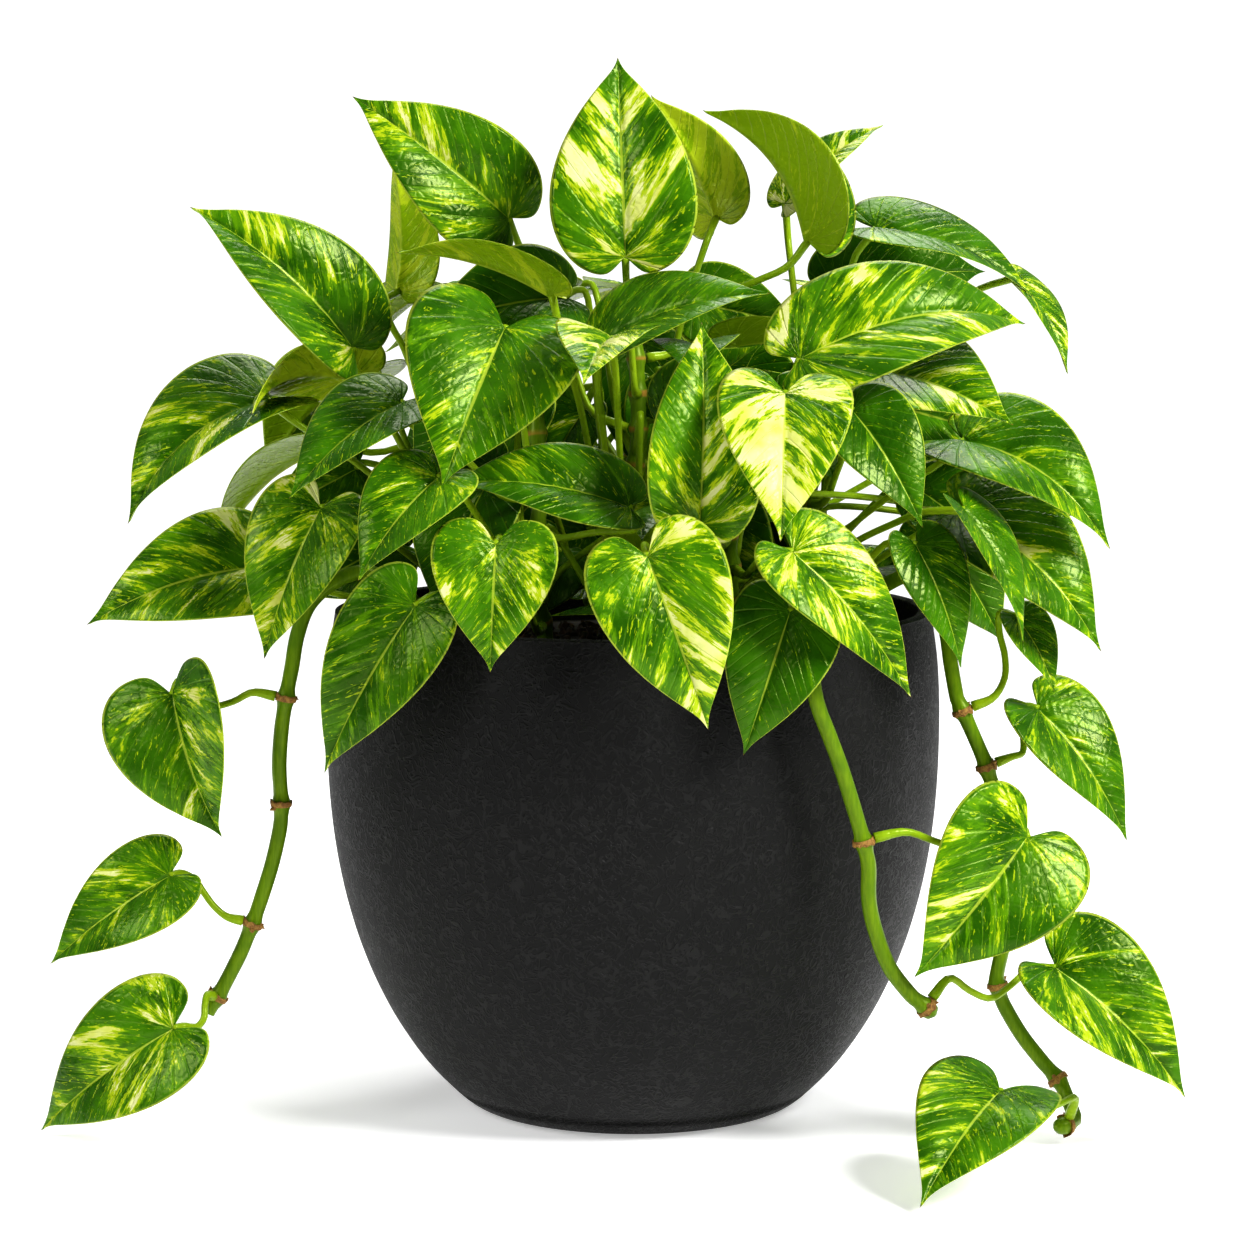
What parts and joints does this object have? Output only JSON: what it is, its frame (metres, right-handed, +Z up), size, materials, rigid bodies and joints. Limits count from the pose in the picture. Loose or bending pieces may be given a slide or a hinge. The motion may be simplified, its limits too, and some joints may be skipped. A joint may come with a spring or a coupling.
{
  "type": "potted pothos plant",
  "caption": "Trailing pothos houseplant with heart-shaped, cream and green variegated leaves, rooted in soil in a round matt black bowl planter.",
  "frame": {"origin": "centre of the pot's flat foot, on the surface that it stands on", "axes": "+Z up along the pot's axis, -Y towards the plant's front, +X to the right as seen from the front"},
  "size_m": [0.441, 0.3468, 0.416],
  "materials": {
    "pot": "matt black moulded plastic with a fine, shallow embossed grain",
    "soil": "dark, crumbly bark and peat potting mix",
    "stem": "satin green living stem with brown papery nodes",
    "leaf": "waxy, glossy green leaf marbled with yellow-green and cream"
  },
  "bodies": {
    "root": {"pot": "pot", "potting_soil": "soil", "crown_stem_front_left": "stem", "crown_stem_front_right": "stem", "crown_stem_left": "stem", "crown_stem_right": "stem", "crown_stem_middle": "stem", "crown_stem_rear": "stem", "vine_left": "stem", "vine_right_front": "stem", "vine_right_rear": "stem", "leaf_vine_left_first": "leaf", "leaf_vine_left_second": "leaf", "leaf_vine_left_last": "leaf", "leaf_vine_right_small": "leaf", "leaf_vine_right_upper": "leaf", "leaf_vine_right_broad": "leaf", "leaf_vine_right_low": "leaf", "leaf_vine_right_last": "leaf", "leaf_front_dark_heart": "leaf", "leaf_front_heart": "leaf", "leaf_front_left_heart": "leaf", "leaf_left_hanging": "leaf", "leaf_left_low_heart": "leaf", "leaf_left_low_wing": "leaf", "leaf_right_hanging": "leaf", "leaf_right_dark": "leaf", "leaf_right_low_wing": "leaf", "leaf_right_narrow": "leaf", "leaf_left_middle_heart": "leaf", "leaf_centre_lying": "leaf", "leaf_centre_upright": "leaf", "leaf_cream_heart": "leaf", "leaf_right_middle_dark": "leaf", "leaf_right_middle_wing": "leaf", "leaf_right_middle_broad": "leaf", "leaf_left_middle_wing": "leaf", "leaf_far_left": "leaf", "leaf_big_heart": "leaf", "leaf_star": "leaf", "leaf_centre_shelf": "leaf", "leaf_right_shoulder": "leaf", "leaf_right_back": "leaf", "leaf_right_back_tip": "leaf", "leaf_left_pale": "leaf", "leaf_left_wing": "leaf", "leaf_left_upright": "leaf", "leaf_top_shelf": "leaf", "leaf_top_left": "leaf", "leaf_top_centre": "leaf", "leaf_top_pale": "leaf", "leaf_top_right": "leaf", "leaf_top_right_small": "leaf", "leaf_rear_1": "leaf", "leaf_rear_2": "leaf", "leaf_rear_3": "leaf", "leaf_rear_4": "leaf", "leaf_rear_5": "leaf", "leaf_rear_6": "leaf", "leaf_rear_7": "leaf"}
  },
  "joints": []
}
